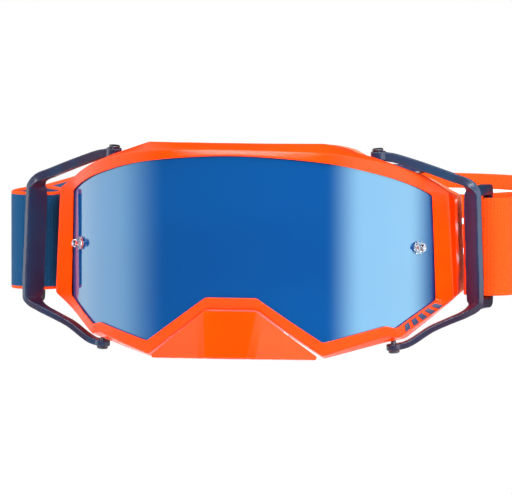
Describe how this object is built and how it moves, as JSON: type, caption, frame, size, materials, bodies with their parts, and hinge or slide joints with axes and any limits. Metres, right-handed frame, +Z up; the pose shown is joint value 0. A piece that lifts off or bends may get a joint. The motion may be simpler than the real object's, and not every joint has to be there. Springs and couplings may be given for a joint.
{
  "type": "motorcycle goggles",
  "caption": "Off-road motorcycle goggles with a mirrored cylindrical lens in a faceted frame, a nose guard, hinged outriggers, layered face foam and a woven head strap.",
  "frame": {"origin": "centre of the face seat: on the symmetry plane, where the face foam meets the brow, level with the middle of the strap", "axes": "+Z up, -Y out of the front of the lens, +X towards the wearer's left, +Y back along the strap loop"},
  "size_m": [0.2376, 0.254, 0.099],
  "materials": {
    "frame_orange": "gloss injection-moulded polyurethane, bright orange",
    "guard_orange": "gloss moulded plastic, bright orange",
    "lens_mirror": "blue mirror coating on polycarbonate",
    "post_clear": "clear polycarbonate",
    "outrigger_navy": "gloss moulded nylon, navy",
    "slider_navy": "moulded acetal, navy",
    "pin_steel": "turned steel",
    "vent_foam": "open-cell vent foam, dark grey",
    "foam_base": "open-cell foam, grey",
    "foam_middle": "soft open-cell foam, orange",
    "foam_fleece": "microfibre fleece, black",
    "webbing_orange": "woven elastic webbing, orange face and navy back",
    "webbing_blue": "woven elastic webbing, blue face and orange back",
    "grip_silicone": "printed silicone grip line"
  },
  "bodies": {
    "goggle": {"frame": "frame_orange", "lens": "lens_mirror", "tear_off_post_left": "post_clear", "tear_off_post_right": "post_clear", "post_washer_left": "post_clear", "post_washer_right": "post_clear", "outrigger_pin_upper_left": "pin_steel", "outrigger_pin_upper_right": "pin_steel", "outrigger_pin_lower_left": "pin_steel", "outrigger_pin_lower_right": "pin_steel", "vent_foam_top": "vent_foam", "vent_foam_bottom_left": "vent_foam", "vent_foam_bottom_right": "vent_foam", "face_foam_base": "foam_base", "face_foam_middle": "foam_middle", "face_foam_fleece": "foam_fleece", "strap_left": "webbing_orange", "strap_right": "webbing_blue", "grip_line_1_left": "grip_silicone", "grip_line_1_right": "grip_silicone", "grip_line_2_left": "grip_silicone", "grip_line_2_right": "grip_silicone", "grip_line_3_left": "grip_silicone", "grip_line_3_right": "grip_silicone"},
    "nose_guard": {"nose_guard": "guard_orange"},
    "outrigger_left": {"outrigger_left": "outrigger_navy", "strap_fold_left": "webbing_orange"},
    "outrigger_right": {"outrigger_right": "outrigger_navy", "strap_fold_right": "webbing_blue"},
    "slider_left": {"slider_left": "slider_navy"},
    "slider_right": {"slider_right": "slider_navy"}
  },
  "joints": [
    {"name": "outrigger_left_hinge", "type": "hinge", "parent": "goggle", "child": "outrigger_left", "pos_m": [0.0616, -0.0142, 0.0419], "axis": [0.0728, 0.0478, -0.9962], "range_deg": [-1.5, 10]},
    {"name": "outrigger_right_hinge", "type": "hinge", "parent": "goggle", "child": "outrigger_right", "pos_m": [-0.0616, -0.0142, 0.0419], "axis": [0.0728, -0.0478, 0.9962], "range_deg": [-1.5, 10]},
    {"name": "nose_guard_slide", "type": "slide", "parent": "goggle", "child": "nose_guard", "axis": [0, -1, 0], "range_m": [0, 0.012]},
    {"name": "slider_left_slide", "type": "slide", "parent": "goggle", "child": "slider_left", "axis": [1, 0, 0], "range_m": [-0.01, 0.006]},
    {"name": "slider_right_slide", "type": "slide", "parent": "goggle", "child": "slider_right", "axis": [-1, 0, 0], "range_m": [-0.01, 0.006]}
  ]
}
